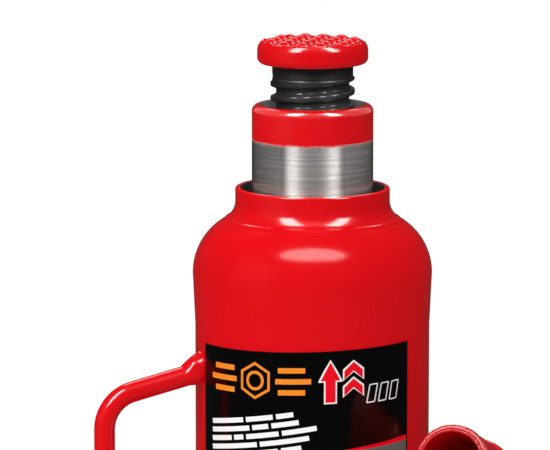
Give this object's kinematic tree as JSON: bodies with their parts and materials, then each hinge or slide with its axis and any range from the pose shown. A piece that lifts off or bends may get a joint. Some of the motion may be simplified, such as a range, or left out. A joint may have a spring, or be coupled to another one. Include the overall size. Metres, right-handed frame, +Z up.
{
  "type": "bottle jack",
  "caption": "Welded hydraulic bottle jack with round reservoir, ram, extension screw and saddle, side carry handle, lever pump with handle socket and release valve.",
  "frame": {"origin": "ram axis at the underside of the base", "axes": "+Z up along the ram, +X towards the pump, the handle socket's mouth points towards -Y and up"},
  "size_m": [0.1625, 0.136, 0.263],
  "materials": {
    "red_paint": "gloss",
    "cast_red_paint": "gloss over cast texture",
    "ground_steel": "circumferentially ground",
    "machined_steel": "machined",
    "black_steel": "black oxide, oiled",
    "zinc_steel": "zinc plated",
    "spring_steel": "phosphated",
    "ball_steel": "polished",
    "chrome": "hard chrome",
    "rubber": "matte",
    "nylon": "matte",
    "copper": "annealed",
    "label_film": "gloss printed film"
  },
  "bodies": {
    "jack_body": {"base_casting": "cast_red_paint", "reservoir_tank": "red_paint", "tank_base_weld": "red_paint", "pressure_cylinder": "machined_steel", "cylinder_seat_seal": "nylon", "gland_nut": "black_steel", "gland_o_ring": "rubber", "ram_o_ring": "rubber", "ram_wiper": "rubber", "filler_plug": "rubber", "rating_label": "label_film", "carry_handle": "red_paint", "carry_handle_welds": "red_paint", "pump_cylinder": "black_steel", "pump_washer": "copper", "pump_wiper": "rubber", "link_pin": "zinc_steel", "link_pin_clips": "spring_steel", "release_valve_gland": "machined_steel", "delivery_spring": "spring_steel", "delivery_plug": "black_steel", "overload_spring": "spring_steel", "overload_adjuster": "black_steel", "overload_plug": "black_steel", "passage_plugs": "black_steel"},
    "ram": {"ram": "ground_steel", "piston_head": "machined_steel", "piston_cup_seal": "nylon", "piston_wear_ring": "nylon", "piston_clip": "spring_steel"},
    "screw_stop": {"screw_stop_washer": "machined_steel"},
    "screw": {"extension_screw": "black_steel", "screw_clip": "spring_steel", "saddle": "red_paint"},
    "pump_link": {"link_plates": "red_paint"},
    "pump_lever": {"rocker_yoke": "cast_red_paint", "handle_socket": "red_paint", "socket_weld": "red_paint", "plunger_pin": "zinc_steel", "plunger_pin_clips": "spring_steel", "fulcrum_pin": "zinc_steel", "fulcrum_pin_clips": "spring_steel"},
    "plunger": {"pump_plunger": "chrome", "plunger_seal": "rubber"},
    "release_ball": {"release_ball": "ball_steel"},
    "release_valve": {"release_valve_screw": "zinc_steel", "release_valve_o_ring": "rubber"},
    "inlet_ball": {"inlet_ball": "ball_steel"},
    "delivery_ball": {"delivery_ball": "ball_steel"},
    "overload_ball": {"overload_ball": "ball_steel"}
  },
  "joints": [
    {"name": "ram_lift", "type": "slide", "parent": "jack_body", "child": "ram", "axis": [0, 0, 1], "range_m": [-0.0185, 0.1315]},
    {"name": "screw_travel", "type": "slide", "parent": "ram", "child": "screw_stop", "axis": [0, 0, 1], "range_m": [-0.01515, 0.06401]},
    {"name": "saddle_turn", "type": "hinge", "parent": "screw_stop", "child": "screw", "pos_m": [0, 0, 0.2], "axis": [0, 0, 1], "range_deg": [-1020, 4320]},
    {"name": "link_swing", "type": "hinge", "parent": "jack_body", "child": "pump_link", "pos_m": [0.068, 0.026, 0.0397], "axis": [-1, 0, 0], "range_deg": [-2.7, 3.9]},
    {"name": "socket_swing", "type": "hinge", "parent": "pump_link", "child": "pump_lever", "pos_m": [0.068, 0.02554, 0.0877], "axis": [-1, 0, 0], "range_deg": [-26, 18]},
    {"name": "plunger_stroke", "type": "slide", "parent": "jack_body", "child": "plunger", "axis": [0, 0, 1], "range_m": [-0.0105, 0.0073]},
    {"name": "release_ball_travel", "type": "slide", "parent": "jack_body", "child": "release_ball", "axis": [0, -1, 0], "range_m": [0, 0.00187]},
    {"name": "release_valve_turn", "type": "hinge", "parent": "release_ball", "child": "release_valve", "pos_m": [0.02, -0.056, 0.012], "axis": [0, -1, 0], "range_deg": [0, 540]},
    {"name": "inlet_ball_lift", "type": "slide", "parent": "jack_body", "child": "inlet_ball", "axis": [0, 0, 1], "range_m": [0, 0.0011]},
    {"name": "delivery_ball_lift", "type": "slide", "parent": "jack_body", "child": "delivery_ball", "axis": [0, 0, 1], "range_m": [0, 0.001], "stiffness_N_per_m": 200, "springref_m": -0.0005, "deforming": ["delivery_spring"]},
    {"name": "overload_ball_lift", "type": "slide", "parent": "jack_body", "child": "overload_ball", "axis": [1, 0, 0], "range_m": [0, 0.001], "stiffness_N_per_m": 200, "springref_m": -0.0005, "deforming": ["overload_spring"]}
  ],
  "couplings": [
    {"joint": "screw_travel", "follows": "saddle_turn", "m_per_rad": 0.00084883},
    {"joint": "link_swing", "follows": "socket_swing", "ratio": -0.146},
    {"joint": "plunger_stroke", "follows": "socket_swing", "m_per_rad": 0.0229},
    {"joint": "release_valve_turn", "follows": "release_ball_travel", "rad_per_m": 5026.5}
  ]
}
